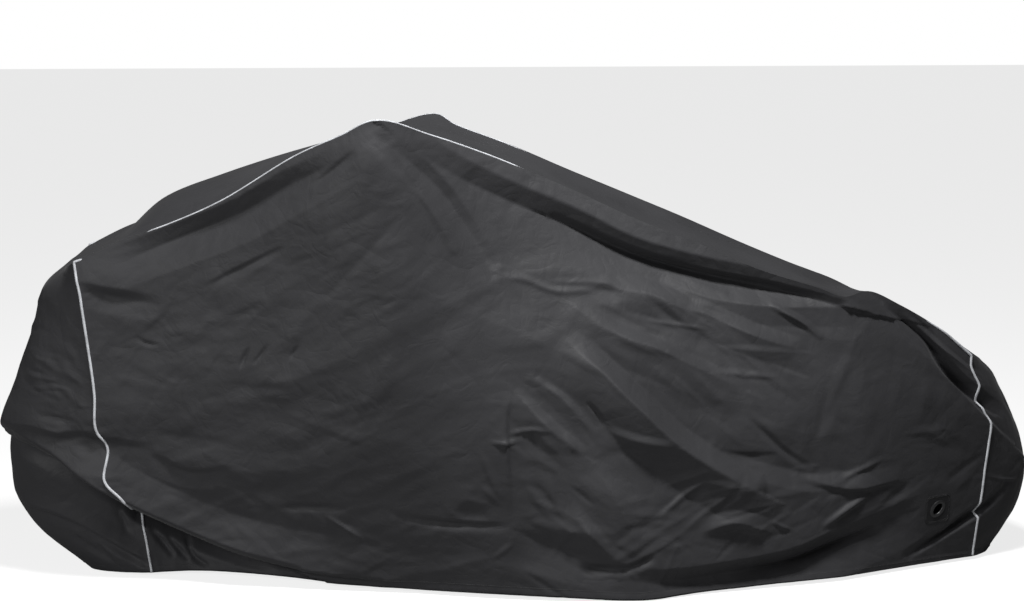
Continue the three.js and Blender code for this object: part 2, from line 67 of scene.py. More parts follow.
TOP = [
    (-0.949, -0.150, 0.812, -0.958, 0.803, 0, 0),
    (-0.826, -0.170, 0.857, -0.850, 0.896, 0, 0.006),
    (-0.702, -0.205, 0.914, -0.715, 0.948, 0, 0),
    (-0.530, -0.270, 1.022, -0.535, 1.006, 0.030, 0.030),
    (-0.429, -0.310, 1.070, -0.415, 1.036, 0.080, 0.045),
    (-0.351, -0.330, 1.105, -0.290, 1.052, 0.150, 0.040),
    (-0.228, -0.260, 1.066, -0.170, 1.030, 0.084, 0.025),
    (-0.066, -0.200, 1.003, -0.045, 0.982, 0.050, 0.006),
    (0.099, -0.175, 0.930, 0.105, 0.915, 0.025, -0.008),
    (0.266, -0.170, 0.852, 0.268, 0.842, 0.005, -0.025),
    (0.405, -0.172, 0.797, 0.405, 0.790, 0, -0.024),
    (0.544, -0.175, 0.736, 0.544, 0.732, 0, -0.023),
    (0.683, -0.182, 0.692, 0.683, 0.688, 0, -0.008),
    (0.744, -0.190, 0.672, 0.744, 0.668, 0, -0.004),
    (0.800, -0.180, 0.684, 0.800, 0.662, 0, 0.030),
    (0.881, -0.170, 0.648, 0.881, 0.626, 0, 0.036),
    (0.985, -0.150, 0.585, 0.990, 0.570, 0, 0.032),
]
RIGHT_END = [
    (1.069, -0.130, 0.516, 1.118, 0.488, 0, 0.014),
    (1.070, -0.130, 0.484, 1.152, 0.455, 0, 0.006),
    (1.091, -0.130, 0.442, 1.174, 0.416, 0, 0),
    (1.095, -0.130, 0.402, 1.191, 0.384, 0, 0),
    (1.114, -0.130, 0.352, 1.211, 0.341, 0, 0),
    (1.115, -0.130, 0.295, 1.231, 0.293, 0, 0),
    (1.112, -0.125, 0.206, 1.248, 0.205, 0, 0),
    (1.105, -0.115, 0.110, 1.228, 0.112, 0, 0),
    (1.098, -0.100, 0.008, 1.162, 0.004, 0, 0),
]
# The near hem between the seams: x, y, z.
HEM = [
    (-0.778, -0.122, 0.011),
    (-0.660, -0.168, 0.014),
    (-0.538, -0.200, 0.012),
    (-0.305, -0.265, 0.009),
    (-0.076, -0.330, 0.010),
    (0.106, -0.366, 0.007),
    (0.243, -0.380, 0.002),
    (0.386, -0.352, 0.005),
    (0.632, -0.290, 0.009),
    (0.899, -0.182, 0.009),
]

PANEL_COLUMNS = 430
PANEL_ROWS = 206
PANEL_SWELL = 0.018
# The hem: how much is turned up, where its row of stitches runs, how soft its upper edge is,
# and how deep and wide a groove the stitches draw.
HEM_TURNED, HEM_STITCHED, HEM_EDGE_SOFT = 0.022, 0.018, 0.003
HEM_GROOVE, HEM_GROOVE_WIDTH = 0.0012, 0.004
CLOTH_DOUBLED = 0.0010
# Gathers beside a seam: their height, how far from it they stand highest, the length of a wave
# and of its drift, and the two lengths over which they come and go.
PUCKER_HEIGHT, PUCKER_AWAY = 0.0004, 0.009
PUCKER_WAVE, PUCKER_DRIFT = 0.0044, 0.019
PUCKER_GROUPS = 0.047, 0.029
# Creases fade out this close to a seam.
SEAM_CALM = 0.030

# Folds, each along a path in x and z as seen from the near side. Columns: how far the fold
# rises at the path's start, middle and end (one that sinks in has a negative rise), how wide
# it is on the path's left-hand side and on its right-hand side, and the path.
ROUND_FOLDS = [
    # wide cones below the handlebar's tip
    ((0, 0.012, 0), 0.080, 0.080, [(-0.351, 1.080), (-0.440, 0.940), (-0.540, 0.760)]),
    ((0, 0.010, 0), 0.070, 0.070, [(-0.340, 1.080), (-0.230, 0.900), (-0.110, 0.700)]),
    ((0, -0.007, 0), 0.060, 0.060, [(-0.180, 0.980), (-0.060, 0.780), (0.050, 0.600)]),
    # the slack between the hollow under the right seam and the long strip
    ((0, 0.008, 0.002), 0.070, 0.070, [(-0.060, 0.740), (0.080, 0.690), (0.300, 0.640)]),
]
# Sharp ones, with flat flanks.
SHARP_FOLDS = [
    # under the right seam: the cloth sinks in and comes out again
    ((-0.006, -0.038, -0.012), 0.045, 0.260,
     [(-0.3, 1.065), (-0.195, 0.985), (-0.065, 0.915), (0.095, 0.845), (0.235, 0.775),
      (0.405, 0.725), (0.59, 0.685), (0.73, 0.65)]),
    ((-0.002, -0.01, -0.004), 0.01, 0.012,
     [(0.105, 0.845), (0.275, 0.765), (0.405, 0.73), (0.59, 0.695)]),
    ((-0.004, -0.018, -0.008), 0.018, 0.08,
     [(0.06, 0.86), (0.235, 0.78), (0.405, 0.725), (0.59, 0.685), (0.735, 0.65)]),
    # under the left seam
    ((-0.002, -0.029, 0), 0.038, 0.06,
     [(-0.955, 0.76), (-0.77, 0.835), (-0.655, 0.885), (-0.54, 0.955), (-0.475, 0.99),
      (-0.405, 1.035)]),
    ((0, -0.007, 0), 0.01, 0.015, [(-0.5, 0.95), (-0.465, 0.975), (-0.39, 1.04)]),
    ((0.002, 0.007, 0), 0.06, 0.02, [(-1.04, 0.725), (-0.965, 0.71), (-0.885, 0.705)]),
    ((0, -0.01, 0), 0.02, 0.04, [(-1.035, 0.705), (-0.95, 0.685), (-0.845, 0.67)]),
    # from the peak down to the long strip
    ((-0.005, -0.018, -0.005), 0.026, 0.04,
     [(-0.33, 1.06), (-0.25, 0.985), (-0.2, 0.93), (-0.14, 0.84), (-0.095, 0.77)]),
    ((0, 0.008, 0.003), 0.04, 0.014, [(-0.34, 1.095), (-0.24, 0.925), (-0.18, 0.81)]),
    ((0, 0.004, 0), 0.012, 0.01,
     [(-0.09, 0.745), (-0.01, 0.73), (0.055, 0.705), (0.145, 0.705), (0.185, 0.725)]),
    ((0, 0.003, 0), 0.008, 0.008, [(0.02, 0.725), (0.14, 0.72), (0.26, 0.71)]),
    ((0, 0.021, 0.005), 0.03, 0.05, [(0.195, 0.705), (0.295, 0.685), (0.395, 0.63)]),
    ((0, 0.019, 0.004), 0.03, 0.045,
     [(0.315, 0.715), (0.405, 0.68), (0.47, 0.665), (0.59, 0.65), (0.74, 0.645)]),
    ((0, 0.023, 0.004), 0.026, 0.05, [(0.37, 0.66), (0.525, 0.59), (0.625, 0.555)]),
    ((0.003, 0.012, 0.003), 0.012, 0.01, [(0.575, 0.65), (0.64, 0.615), (0.685, 0.58)]),
    ((0, 0.021, 0.004), 0.02, 0.07,
     [(0.07, 0.685), (0.2, 0.61), (0.305, 0.565), (0.405, 0.515), (0.485, 0.475)]),
    # the long lit strip and what lies beside it
    ((0, 0.056, 0.026), 0.034, 0.09,
     [(0.065, 0.605), (0.14, 0.545), (0.235, 0.455), (0.33, 0.365), (0.455, 0.28),
      (0.515, 0.245)]),
    ((0, -0.018, 0), 0.09, 0.04, [(0.415, 0.34), (0.565, 0.29), (0.66, 0.265), (0.805, 0.27)]),
    ((0, -0.004, 0), 0.01, 0.02, [(0.43, 0.335), (0.505, 0.315), (0.59, 0.315)]),
    ((0, -0.007, -0.003), 0.012, 0.012, [(0.5, 0.41), (0.595, 0.32), (0.65, 0.28)]),
    ((0, 0.005, 0), 0.01, 0.008, [(0.725, 0.24), (0.755, 0.255), (0.845, 0.29)]),
    ((0, 0.013, 0), 0.036, 0.012, [(0.63, 0.26), (0.755, 0.225), (0.9, 0.235)]),
    # crumpled middle
    ((0, 0.008, 0), 0.006, 0.1, [(-0.045, 0.505), (-0.06, 0.44), (-0.06, 0.34), (-0.05, 0.195)]),
    ((0.001, 0.019, 0.005), 0.018, 0.05,
     [(-0.045, 0.49), (0.02, 0.42), (0.07, 0.375), (0.11, 0.345)]),
    ((0, 0.009, 0.002), 0.012, 0.03, [(-0.015, 0.525), (0.02, 0.5), (0.065, 0.47), (0.14, 0.385)]),
    ((0.001, 0.01, 0.002), 0.016, 0.04, [(0.165, 0.395), (0.245, 0.37), (0.32, 0.36)]),
    ((0.001, 0.011, 0.003), 0.022, 0.06,
     [(0.135, 0.31), (0.18, 0.255), (0.21, 0.195), (0.235, 0.135)]),
    ((0, 0.015, 0.003), 0.022, 0.07,
     [(0.075, 0.215), (0.12, 0.17), (0.15, 0.135), (0.205, 0.085)]),
    ((0, -0.02, -0.006), 0.05, 0.07, [(-0.045, 0.155), (0.04, 0.125), (0.13, 0.1), (0.2, 0.08)]),
    ((0, -0.013, -0.006), 0.014, 0.02, [(0.105, 0.08), (0.15, 0.075), (0.205, 0.075)]),
    ((-0.004, -0.01, 0), 0.012, 0.014, [(0.21, 0.075), (0.24, 0.085), (0.28, 0.105)]),
    ((0, -0.01, 0), 0.008, 0.016,
     [(-0.335, 0.205), (-0.27, 0.19), (-0.185, 0.18), (-0.05, 0.175)]),
    ((0, -0.007, 0), 0.008, 0.014, [(-0.58, 0.2), (-0.5, 0.205), (-0.42, 0.205)]),
    ((0, 0.01, 0), 0.008, 0.006, [(-0.48, 0.185), (-0.43, 0.155), (-0.38, 0.12)]),
    ((0, 0.007, 0), 0.007, 0.012, [(0.285, 0.19), (0.34, 0.235), (0.395, 0.275)]),
    ((0, 0.02, 0), 0.03, 0.02, [(0.385, 0.15), (0.47, 0.17), (0.565, 0.135)]),
    ((0, 0.007, 0), 0.006, 0.006, [(0.56, 0.165), (0.585, 0.15), (0.615, 0.135)]),
    ((0, 0.013, 0), 0.012, 0.012, [(0.685, 0.135), (0.74, 0.17), (0.81, 0.21)]),
    ((0, 0.007, 0), 0.006, 0.008, [(-0.06, 0.39), (-0.005, 0.4), (0.04, 0.395)]),
    ((0, 0.007, 0), 0.006, 0.006, [(-0.1, 0.375), (-0.065, 0.37), (-0.03, 0.375)]),
    ((0, -0.007, 0), 0.006, 0.008, [(0.165, 0.4), (0.14, 0.44), (0.12, 0.46)]),
    # deep folds drawn in at the right end
    ((-0.006, -0.038, -0.008), 0.036, 0.085,
     [(0.215, 0.05), (0.32, 0.035), (0.44, 0.04), (0.62, 0.06), (0.72, 0.09), (0.83, 0.12),
      (0.9, 0.145)]),
    ((-0.004, -0.02, -0.006), 0.022, 0.012,
     [(0.92, 0.035), (0.975, 0.06), (1.025, 0.085), (1.135, 0.14), (1.175, 0.175)]),
    ((-0.002, -0.02, -0.002), 0.012, 0.016,
     [(0.48, 0.036), (0.62, 0.052), (0.72, 0.082), (0.83, 0.113)]),
    # edges of the flat right part
    ((0.005, 0.013, 0.005), 0.01, 0.09,
     [(0.835, 0.65), (0.885, 0.59), (0.96, 0.51), (1.035, 0.43), (1.11, 0.355), (1.195, 0.28)]),
    ((-0.002, -0.025, -0.007), 0.03, 0.009,
     [(0.845, 0.645), (0.945, 0.56), (0.995, 0.485), (1.075, 0.415), (1.145, 0.365)]),
    ((0.002, 0.011, 0.002), 0.01, 0.016, [(0.9, 0.62), (0.995, 0.535), (1.07, 0.475)]),
    ((0, 0.003, 0), 0.006, 0.006, [(1.12, 0.215), (1.17, 0.2), (1.22, 0.19)]),
    # deep folds drawn in at the left end
    ((-0.006, -0.011, 0), 0.016, 0.08,
     [(-1.24, 0.35), (-1.165, 0.355), (-1.105, 0.345), (-1.045, 0.35), (-0.99, 0.34),
      (-0.87, 0.325)]),
    ((0, -0.009, 0), 0.012, 0.04, [(-0.89, 0.315), (-0.8, 0.275), (-0.755, 0.275), (-0.69, 0.29)]),
    ((0.005, 0.039, 0.007), 0.095, 0.01,
     [(-1.235, 0.335), (-1.125, 0.295), (-1.015, 0.225), (-0.92, 0.17), (-0.745, 0.095),
      (-0.56, 0.05), (-0.33, 0.03)]),
    ((-0.021, -0.069, -0.025), 0.03, 0.12,
     [(-1.235, 0.33), (-1.135, 0.285), (-1.02, 0.21), (-0.91, 0.15), (-0.75, 0.08),
      (-0.555, 0.03)]),
    ((-0.007, -0.048, -0.007), 0.02, 0.024,
     [(-1.2, 0.303), (-1.11, 0.26), (-1, 0.19), (-0.9, 0.137), (-0.75, 0.07), (-0.6, 0.035)]),
    ((0.003, 0.015, 0.003), 0.034, 0.009,
     [(-1.185, 0.17), (-1.14, 0.16), (-1.085, 0.135), (-0.98, 0.075), (-0.915, 0.045)]),
    ((-0.002, -0.016, -0.005), 0.009, 0.02,
     [(-1.185, 0.16), (-1.14, 0.15), (-1.08, 0.125), (-0.98, 0.07), (-0.915, 0.035)]),
    ((0, -0.014, 0), 0.010, 0.010, [(-1.12, 0.135), (-1.055, 0.075), (-0.975, 0.025)]),
    ((0, -0.014, 0), 0.008, 0.010, [(-1.07, 0.11), (-1.025, 0.07), (-0.985, 0.04)]),
    ((0, -0.01, 0), 0.010, 0.008, [(-1.01, 0.18), (-0.98, 0.13), (-0.955, 0.095)]),
    ((0, -0.013, -0.007), 0.007, 0.010, [(-0.9, 0.115), (-0.87, 0.08), (-0.845, 0.05)]),
    ((0, -0.013, -0.007), 0.007, 0.010, [(-0.86, 0.095), (-0.835, 0.065), (-0.81, 0.04)]),
    ((0, -0.013, -0.007), 0.007, 0.010, [(-0.815, 0.095), (-0.795, 0.045), (-0.765, 0.025)]),
    # single small creases
    ((0, -0.007, 0), 0.005, 0.005, [(-0.645, 0.58), (-0.655, 0.555), (-0.665, 0.53)]),
    ((0, -0.005, 0), 0.005, 0.005, [(-0.6, 0.59), (-0.615, 0.565), (-0.635, 0.54)]),
    ((0, -0.005, 0), 0.005, 0.005, [(-0.53, 0.59), (-0.54, 0.575), (-0.55, 0.555)]),
    ((0, -0.005, 0), 0.008, 0.015, [(-0.745, 0.715), (-0.66, 0.76), (-0.54, 0.825)]),
    ((0, -0.005, 0), 0.006, 0.006, [(-0.91, 0.595), (-0.885, 0.58), (-0.85, 0.575)]),
]

# Small creases, scattered in groups. Columns: the group's middle, how far it reaches along x and
# z, how many there are, the way they run in degrees, their length, width and height.
CREASE_GROUPS = [
    ((-0.93, 0.45), (0.05, 0.10), 16, 70, 0.09, 0.012, 0.0016),
    ((-0.80, 0.58), (0.09, 0.08), 16, 50, 0.10, 0.014, 0.0016),
    ((-0.60, 0.70), (0.22, 0.12), 26, 32, 0.20, 0.022, 0.0022),
    ((-0.42, 0.85), (0.10, 0.08), 20, 20, 0.07, 0.008, 0.0013),
    ((-0.35, 0.60), (0.20, 0.16), 20, 70, 0.22, 0.026, 0.0023),
    ((-0.65, 0.35), (0.25, 0.12), 22, -8, 0.20, 0.022, 0.0021),
    ((-0.25, 0.33), (0.18, 0.12), 16, 25, 0.15, 0.020, 0.0017),
    ((-0.10, 0.75), (0.10, 0.12), 12, -62, 0.18, 0.020, 0.0018),
    ((0.05, 0.30), (0.10, 0.10), 24, -48, 0.10, 0.012, 0.0046),
    ((0.10, 0.16), (0.14, 0.06), 18, -20, 0.11, 0.014, 0.0042),
    ((0.28, 0.68), (0.10, 0.04), 14, -22, 0.11, 0.012, 0.0039),
    ((0.40, 0.56), (0.16, 0.06), 18, -30, 0.16, 0.018, 0.0042),
    ((0.55, 0.42), (0.14, 0.07), 14, -38, 0.14, 0.016, 0.0039),
    ((0.52, 0.22), (0.16, 0.05), 18, 12, 0.12, 0.014, 0.0039),
    ((0.30, 0.14), (0.14, 0.04), 14, 30, 0.10, 0.012, 0.0036),
    ((0.80, 0.40), (0.12, 0.12), 16, 78, 0.16, 0.022, 0.0033),
    ((0.90, 0.18), (0.10, 0.05), 12, 30, 0.11, 0.014, 0.0033),
    ((-0.35, 0.10), (0.22, 0.03), 22, -4, 0.14, 0.012, 0.0016),
    ((-0.70, 0.17), (0.16, 0.04), 12, -24, 0.16, 0.016, 0.0018),
]

# The level line inside the cover that folds point away from.
SPINE_LEFT, SPINE_RIGHT, SPINE_SOFT = -0.930, 0.980, 0.060


def curve_through(points):
    """The smooth curve through some points, as a function from shares of it to places."""
    points = np.array(points, float)
    held = np.vstack([2 * points[0] - points[1], points, 2 * points[-1] - points[-2]])
    gaps = np.sqrt(np.linalg.norm(np.diff(held, axis=0), axis=1))[:, None]
    before, between, after = gaps[:-2], gaps[1:-1], gaps[2:]
    p0, p1, p2, p3 = held[:-3], held[1:-2], held[2:-1], held[3:]
    leaving = ((p1 - p0) / before - (p2 - p0) / (before + between) + (p2 - p1) / between) * between
    arriving = ((p2 - p1) / between - (p3 - p1) / (between + after) + (p3 - p2) / after) * between
    square = 3 * (p2 - p1) - 2 * leaving - arriving
    cube = 2 * (p1 - p2) + leaving + arriving

    def place(share):
        scaled = np.clip(share, 0, 1) * (len(points) - 1)
        piece = np.minimum(scaled.astype(int), len(points) - 2)
        t = (scaled - piece)[:, None]
        return p1[piece] + leaving[piece] * t + square[piece] * t**2 + cube[piece] * t**3

    return place


def walked(points, axis=0):
    """How far each point lies along its line, or along its own line of a grid."""
    steps = np.linalg.norm(np.diff(points, axis=axis), axis=-1)
    start = np.zeros_like(np.take(steps, [0], axis))
    return np.concatenate([start, np.cumsum(steps, axis)], axis)


def by_length(curve, shares, steps=200):
    """The curve's own shares at the given shares of its length."""
    marks = np.linspace(0, 1, steps + 1)
    reached = walked(curve(marks))
    return np.interp(shares * reached[-1], reached, marks)


def seam_sections(rows, shares):
    """The near seam, the band's middle line and the far seam at shares of the near seam."""
    rows = np.array(rows, float)
    x, y, z, middle_x, middle_z, skew, drop = rows.T
    near = curve_through(np.column_stack([x, y, z]))
    middle = curve_through(np.column_stack([middle_x, 0 * x, middle_z]))
    far = curve_through(np.column_stack([x + skew, -y, z - drop]))
    t = by_length(near, shares)
    return near(t), middle(t), far(t)


def to_path(x, z, line):
    """How far each place is from a line, on which side of it, and how far along it."""
    steps = np.diff(line, axis=0)
    lengths = np.linalg.norm(steps, axis=1)
    reached = walked(line)
    best = np.full(x.shape, np.inf)
    side = np.zeros(x.shape)
    along = np.zeros(x.shape)
    for (from_x, from_z), (go_x, go_z), length, before in zip(line, steps, lengths, reached):
        share = np.clip(((x - from_x) * go_x + (z - from_z) * go_z) / length**2, 0, 1)
        off_x, off_z = x - from_x - share * go_x, z - from_z - share * go_z
        distance = np.hypot(off_x, off_z)
        closer = distance < best
        best = np.where(closer, distance, best)
        side = np.where(closer, np.sign(go_x * off_z - go_z * off_x), side)
        along = np.where(closer, (before + share * length) / reached[-1], along)
    return best, side, along


# A fold's path is drawn with so many steps for each point, and felt so many widths away.
PATH_STEPS, FOLD_REACH = 8, 2.5


def fold_rise(x, z, folds, flank):
    """How far the folds push the cloth out at each x and z."""
    total = np.zeros(x.shape)
    for (start, middle, end), left_width, right_width, path in folds:
        line = curve_through(path)(np.linspace(0, 1, PATH_STEPS * len(path)))
        reach = FOLD_REACH * max(left_width, right_width)
        low, high = line.min(0) - reach, line.max(0) + reach
        close = (x > low[0]) & (x < high[0]) & (z > low[1]) & (z < high[1])
        if close.any():
            distance, side, along = to_path(x[close], z[close], line)
            to_middle = np.sin(np.pi * along)
            rise = np.where(along < 0.5, start, end) * (1 - to_middle) + middle * to_middle
            total[close] += rise * flank(distance / np.where(side > 0, left_width, right_width))
    return total


def round_flank(share):
    return np.exp(-share**2)


def flat_flank(share):
    return np.maximum(0, 1 - share)


def fold_heights(x, z):
    """The heights of all the cover's named folds."""
    sharp = fold_rise(x, z, SHARP_FOLDS, flat_flank)
    return fold_rise(x, z, ROUND_FOLDS, round_flank) + sharp


def crease_heights(x, z, groups, seed):
    """Straight creases with flat flanks, each with its own place, lean and length."""
    chance = np.random.default_rng(seed)
    total = np.zeros(x.shape)
    for (middle_x, middle_z), (reach_x, reach_z), count, lean, length, width, height in groups:
        for _ in range(count):
            at_x, at_z = chance.normal((middle_x, middle_z), (reach_x, reach_z))
            angle = math.radians(lean + chance.normal(0, 16))
            half = length * chance.uniform(0.3, 0.75)
            above, below = width * chance.uniform(0.5, 1.8, 2)
            rise = height * chance.uniform(0.3, 1.0) * chance.choice((-1, 1, 1))
            close = (np.abs(x - at_x) < half + width) & (np.abs(z - at_z) < half + width)
            if close.any():
                off_x, off_z = x[close] - at_x, z[close] - at_z
                along = (off_x * math.cos(angle) + off_z * math.sin(angle)) / half
                across = off_z * math.cos(angle) - off_x * math.sin(angle)
                body = np.clip(1 - along**2, 0, 1)
                share = np.abs(across) / (np.where(across > 0, above, below) * (0.3 + 0.7 * body))
                total[close] += rise * body * flat_flank(share)
    return total


def facets(u, v, size, height, seed):
    """Flat facets like those of crushed cloth: heights at scattered points, joined by planes."""
    u, v = u / size, v / size
    a = u + 0.40 * np.sin(0.9 * v + seed) + 0.22 * np.sin(2.3 * v + 0.7 * u + 2 * seed)
    b = v + 0.40 * np.sin(0.8 * u + 3 * seed) + 0.22 * np.sin(2.6 * u - 0.6 * v + seed)
    column, row = np.floor(a).astype(int), np.floor(b).astype(int)
    a, b = a - column, b - row
    heights = np.random.default_rng(seed).uniform(-height, height, (64, 64))
    corner = heights[column % 64, row % 64]
    after = heights[(column + 1) % 64, row % 64]
    over = heights[column % 64, (row + 1) % 64]
    opposite = heights[(column + 1) % 64, (row + 1) % 64]
    low = corner + a * (after - corner) + b * (over - corner)
    high = opposite + (1 - a) * (over - opposite) + (1 - b) * (after - opposite)
    return np.where(a + b < 1, low, high)


def crushed(u, v, lean, seed):
    """Three sizes of facets, drawn out in the direction that the cloth is pulled in."""
    along = u * np.cos(lean) + v * np.sin(lean)
    across = v * np.cos(lean) - u * np.sin(lean)
    return (facets(along / 2.2, across, 0.075, 0.0024, seed)
            + facets(along / 1.6, across, 0.034, 0.0011, seed + 1)
            + facets(across, along / 1.3, 0.016, 0.0004, seed + 2))


def puckers(along, away, seed):
    """Small gathers that the sewing thread draws up beside a seam."""
    wave = np.sin(along / PUCKER_WAVE + 2.4 * np.sin(along / PUCKER_DRIFT + seed) + seed)
    slow, quick = (along / length for length in PUCKER_GROUPS)
    strength = np.abs(np.sin(slow + seed) * np.sin(quick + 3 * seed)) * 1.6
    away = away / PUCKER_AWAY
    return PUCKER_HEIGHT * wave * strength * away * np.exp(1 - away)


def outward(points):
    """Level and away from the spine, and shorter close to it."""
    away = points * (1, 1, 0)
    away[..., 0] -= np.clip(points[..., 0], SPINE_LEFT, SPINE_RIGHT)
    length = np.linalg.norm(away, axis=-1, keepdims=True)
    return away / np.maximum(length, SPINE_SOFT)


def smooth_panel(hem, top, left, right):
    """A panel between its four edges before it is folded, swelling a little in the middle."""
    u = np.linspace(0, 1, len(hem))[:, None, None]
    v = np.linspace(0, 1, len(left))[None, :, None]
    up = hem[:, None] * (1 - v) + top[:, None] * v
    across = left[None] * (1 - u) + right[None] * u
    low = hem[0] * (1 - u) + hem[-1] * u
    high = top[0] * (1 - u) + top[-1] * u
    points = up + across - (low * (1 - v) + high * v)
    swell = PANEL_SWELL * np.sin(np.pi * u) * np.sin(np.pi * v)
    points[..., 1] += np.sign(points[..., 1]) * swell[..., 0]
    return points


columns = np.linspace(0, 1, PANEL_COLUMNS + 1)
rows = np.linspace(0, 1, PANEL_ROWS + 1)
left_seams = seam_sections(LEFT_END, rows)
top_seams = seam_sections([LEFT_END[-1], *TOP, RIGHT_END[0]], columns)
right_seams = seam_sections(RIGHT_END, rows)


def hem_line(mirror):
    hem = np.array([LEFT_END[0][:3], *HEM, RIGHT_END[-1][:3]]) * (1, mirror, 1)
    curve = curve_through(hem)
    return curve(by_length(curve, columns))


near_smooth = smooth_panel(hem_line(1), top_seams[0], left_seams[0], right_seams[0][::-1])
far_smooth = smooth_panel(hem_line(-1), top_seams[2], left_seams[2], right_seams[2][::-1])


def eyelet_plane(node):
    """Where an eyelet's patch lies: its middle, and the direction it faces."""
    corners = np.array([vertex.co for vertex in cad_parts[node].data.vertices])
    middle = corners.mean(0)
    normal = np.linalg.svd(corners - middle, full_matrices=False)[2][2]
    return middle, normal * np.sign(normal[1]) * np.sign(middle[1])


EYELETS = {side: eyelet_plane(f"eyelet_patch_{side}") for side in ("near", "far")}
# The cloth lies flat within the first distance of an eyelet's middle, and freely by the second.
FLAT_WITHIN, FLAT_FADES_BY = 0.046, 0.085
# The hole's two radii, how much wider the cloth is cut, and how near to the middle a cut stays.
HOLE_LONG, HOLE_SHORT = 0.015, 0.0095
HOLE_ROOM, CUT_WITHIN = 0.004, 0.050
# How far behind the patch's middle the panel's face lies.
PATCH_LIES = 0.00115


def eyelet_axes(normal):
    """Level, up and out at an eyelet, then the hole's long and short axes, which lean 45°."""
    level = np.array([1, 0, 0]) - normal * normal[0]
    level /= np.linalg.norm(level)
    up = np.cross(normal, level)
    up *= np.sign(up[2])
    return level, up, (level + up) / math.sqrt(2), (up - level) / math.sqrt(2)


def smoothly(x, low, high):
    t = np.clip((x - low) / (high - low), 0, 1)
    return t * t * (3 - 2 * t)


def flattened(points):
    """The cloth lies flat under the eyelets' patches."""
    for middle, normal in EYELETS.values():
        offset = points - (middle - normal * PATCH_LIES)
        share = 1 - smoothly(np.linalg.norm(offset, axis=-1), FLAT_WITHIN, FLAT_FADES_BY)
        points = points - (share * (offset @ normal))[..., None] * normal
    return points


def folded(points, heights):
    return flattened(points + outward(points) * heights[..., None])


def hem_heights(along, up, seed):
    """The doubled cloth of the hem, drawn in by its row of stitches."""
    edge = smoothly(up, HEM_TURNED - HEM_EDGE_SOFT, HEM_TURNED + HEM_EDGE_SOFT)
    groove = HEM_GROOVE * np.exp(-((up - HEM_STITCHED) / HEM_GROOVE_WIDTH) ** 2)
    gathers = puckers(along, np.abs(up - HEM_STITCHED), seed)
    return CLOTH_DOUBLED * (1 - edge) - groove + 0.8 * gathers


# Which way the facets are drawn out, in radians, at the left and at the right, and the x
# between which that turns over.
LEAN_LEFT, LEAN_RIGHT, LEAN_TURNS = 0.55, -0.50, (-0.55, 0.25)


def panel_heights(smooth, seed):
    """All that lies on a panel's smooth shape: folds, creases, gathers and the hem."""
    x, z = smooth[..., 0], smooth[..., 2]
    along, up = walked(smooth, 0), walked(smooth, 1)
    to_left, to_right = along, along[-1] - along
    to_top = up[:, -1:] - up
    to_seam = np.minimum(np.minimum(to_left, to_right), to_top)
    lean = LEAN_LEFT + (LEAN_RIGHT - LEAN_LEFT) * smoothly(x, *LEAN_TURNS)
    fine = crushed(x, z, lean, seed) + crease_heights(x, z, CREASE_GROUPS, seed)
    fine = fine * smoothly(to_seam, 0, SEAM_CALM)
    gathers = (puckers(along, to_top, seed) + puckers(up, to_left, seed + 1)
               + puckers(up, to_right, seed + 2))
    return fold_heights(x, z) + fine + gathers + hem_heights(along, up, seed)


# Behind the far seam the cloth stands up a little in a roll, from the handlebar rightwards.
ROLL_RISE, ROLL_MIDDLE, ROLL_WIDTH = 0.012, 0.020, 0.012
ROLL_STARTS, ROLL_ENDS = (-0.26, -0.12), (0.20, 0.42)
HEM_ROWS = 5

near_panel = folded(near_smooth, panel_heights(near_smooth, 11))
far_panel = folded(far_smooth, panel_heights(near_smooth, 29))
far_x, from_hem = far_smooth[..., 0], walked(far_smooth, 1)
from_seam = from_hem[:, -1:] - from_hem
rolled = smoothly(far_x, *ROLL_STARTS) * (1 - smoothly(far_x, *ROLL_ENDS))
far_panel[..., 2] += rolled * ROLL_RISE * np.exp(-((from_seam - ROLL_MIDDLE) / ROLL_WIDTH) ** 2)


def with_turned_hem(points):
    """Adds the edge that is turned up inside the hem, before the first row."""
    inside = points[:, HEM_ROWS:0:-1] - outward(points[:, HEM_ROWS:0:-1]) * 2 * CLOTH_DOUBLED
    return np.concatenate([inside, points], axis=1)


def cut_out(points, holes):
    """Which squares of a grid stay when holes are cut: each is a middle, two axes, two radii."""
    middles = (points[:-1, :-1] + points[1:, :-1] + points[1:, 1:] + points[:-1, 1:]) / 4
    kept = np.ones(middles.shape[:2], bool)
    for middle, (axis_a, axis_b), (radius_a, radius_b) in holes:
        offset = middles - middle
        inside = ((offset @ axis_a) / radius_a) ** 2 + ((offset @ axis_b) / radius_b) ** 2 < 1
        kept &= ~(inside & (np.linalg.norm(offset, axis=-1) < CUT_WITHIN))
    return kept


def in_scene(name, data):
    """An object that holds the given data, put in the scene."""
    made = bpy.data.objects.new(name, data)
    bpy.context.scene.collection.objects.link(made)
    return made


def mesh_object(name, points, faces):
    """A smooth mesh object from an array of points and the corners of its faces."""
    mesh = bpy.data.meshes.new(name)
    mesh.from_pydata(points.reshape(-1, 3).tolist(), [], faces)
    mesh.shade_smooth()
    return in_scene(name, mesh)


def sheet_object(name, points, turned, kept=None):
    """A mesh object from a grid of points, with the flat cloth's metres as its UV map."""
    columns, rows = points.shape[:2]
    index = np.arange(columns * rows).reshape(columns, rows)
    quads = np.stack([index[:-1, :-1], index[1:, :-1], index[1:, 1:], index[:-1, 1:]], -1)
    quads = quads.reshape(-1, 4) if kept is None else quads[kept]
    if turned:
        quads = quads[:, ::-1]
    flat = np.zeros((columns, rows, 2))
    flat[..., 0] = walked(points, 0).mean(1)[:, None]
    flat[..., 1] = walked(points, 1).mean(0)[None, :]
    made = mesh_object(name, points, quads.tolist())
    uv = made.data.uv_layers.new(name="cloth")
    uv.data.foreach_set("uv", flat.reshape(-1, 2)[quads.ravel()].ravel())
    return made


